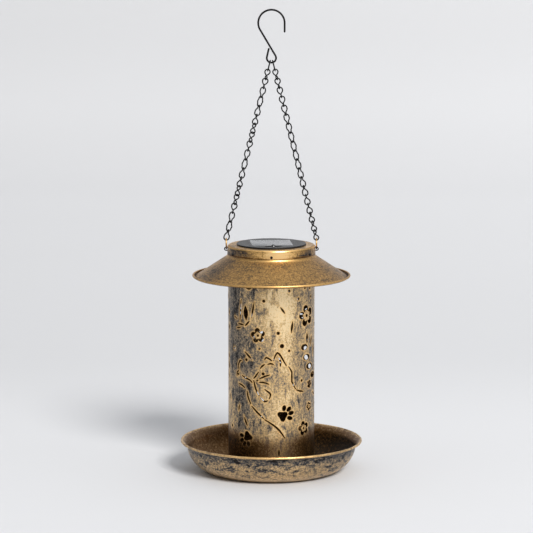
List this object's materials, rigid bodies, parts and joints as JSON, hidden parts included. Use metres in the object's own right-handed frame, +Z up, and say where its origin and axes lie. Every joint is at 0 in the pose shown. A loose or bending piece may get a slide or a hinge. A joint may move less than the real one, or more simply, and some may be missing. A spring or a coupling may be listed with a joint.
{
  "type": "hanging bird feeder",
  "caption": "Hanging punched-cylinder lantern bird feeder with conical roof, seed tray, twin chains, S-hook and lift-out solar lighting unit.",
  "frame": {"origin": "where the inside of the S-hook's large bend bears on whatever holds it", "axes": "+Z up; +X towards the right-hand chain seen from the front; the front is -Y"},
  "size_m": [0.21, 0.21, 0.5343],
  "materials": {
    "black_wire": "satin black enamel",
    "ring_bronze": "worn bronze plating",
    "antique_bronze": "dry-brushed bronze over black",
    "tray_bronze": "dry-brushed bronze over black",
    "screw_dark": "blackened",
    "zinc_screw": "zinc plated",
    "lid_plastic": "fine satin black moulding",
    "cell_glass": "clear resin over silicon",
    "sensor_dark": "dark clear moulding",
    "seal_rubber": "soft foam rubber",
    "board_green": "solder resist",
    "led_clear": "clear epoxy",
    "cell_wrap": "plain shrink wrap",
    "spring_steel": "nickel plated",
    "wire_red": "soft insulation",
    "switch_grey": "moulded"
  },
  "bodies": {
    "hook": {"s_hook": "black_wire"},
    "top_links": {"left_top_link": "black_wire", "right_top_link": "black_wire"},
    "chains": {"left_chain": "black_wire", "right_chain": "black_wire", "left_ring": "ring_bronze", "right_ring": "ring_bronze"},
    "lantern": {"roof_collar": "antique_bronze", "hanger_eyes": "black_wire", "collar_screws": "screw_dark", "roof_canopy": "antique_bronze", "punched_cylinder": "antique_bronze", "feed_tray": "tray_bronze", "tray_screws": "zinc_screw", "tray_nuts": "zinc_screw"},
    "solar_unit": {"solar_housing": "lid_plastic", "solar_panel": "cell_glass", "dusk_sensor": "sensor_dark", "lid_gasket": "seal_rubber", "circuit_board": "board_green", "led_lamp": "led_clear", "base_cover": "lid_plastic", "housing_screws": "zinc_screw", "battery": "cell_wrap", "battery_spring": "spring_steel", "battery_plate": "spring_steel", "lead_wires": "wire_red"},
    "well_door": {"battery_door": "lid_plastic"},
    "switch": {"switch_slider": "switch_grey"}
  },
  "joints": [
    {"name": "side_swing", "type": "hinge", "parent": "hook", "child": "top_links", "pos_m": [0, 0, -0.0537], "axis": [0, 1, 0], "range_deg": [-20, 20]},
    {"name": "front_swing", "type": "hinge", "parent": "top_links", "child": "chains", "pos_m": [0, 0, -0.06752], "axis": [1, 0, 0], "range_deg": [-22, 22]},
    {"name": "lantern_tilt", "type": "hinge", "parent": "chains", "child": "lantern", "pos_m": [0, 0, -0.2712], "axis": [1, 0, 0], "range_deg": [-25, 25]},
    {"name": "solar_lift", "type": "slide", "parent": "lantern", "child": "solar_unit", "axis": [0, 0, 1], "range_m": [0, 0.03]},
    {"name": "door_slide", "type": "slide", "parent": "solar_unit", "child": "well_door", "axis": [0.9962, 0.0872, 0], "range_m": [0, 0.016]},
    {"name": "switch_slide", "type": "slide", "parent": "solar_unit", "child": "switch", "axis": [0.9962, 0.0872, 0], "range_m": [0, 0.004]}
  ]
}
